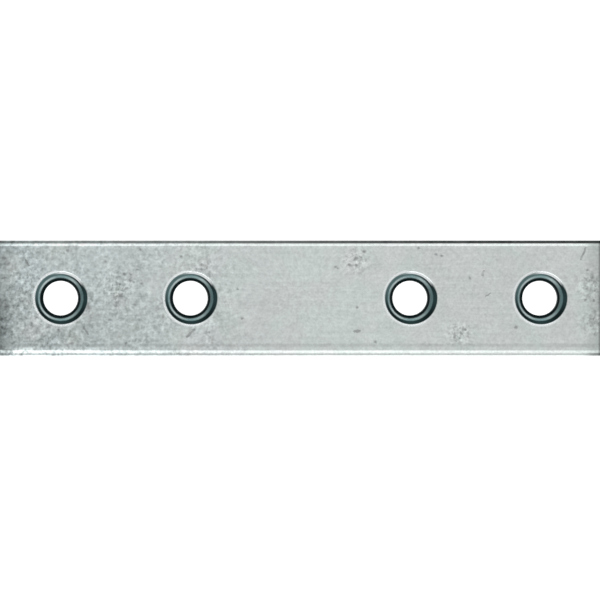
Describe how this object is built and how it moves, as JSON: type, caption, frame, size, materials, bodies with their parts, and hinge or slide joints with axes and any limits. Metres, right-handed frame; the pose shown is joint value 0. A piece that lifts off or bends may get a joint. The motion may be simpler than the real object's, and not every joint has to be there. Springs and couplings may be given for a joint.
{
  "type": "mending plate",
  "caption": "Flat zinc-plated steel strip with countersunk screw holes along its middle, for joining or mending timber end to end.",
  "frame": {"origin": "centre of the back face, which lies on the surface", "axes": "+X along the plate, +Y across it, +Z out of the countersunk face"},
  "size_m": [0.1, 0.019, 0.002],
  "materials": {
    "zinc_plated_steel": "satin bright zinc plate over rolled steel, faintly blue, with mottled and pitted patches"
  },
  "bodies": {
    "root": {"plate": "zinc_plated_steel"}
  },
  "joints": []
}
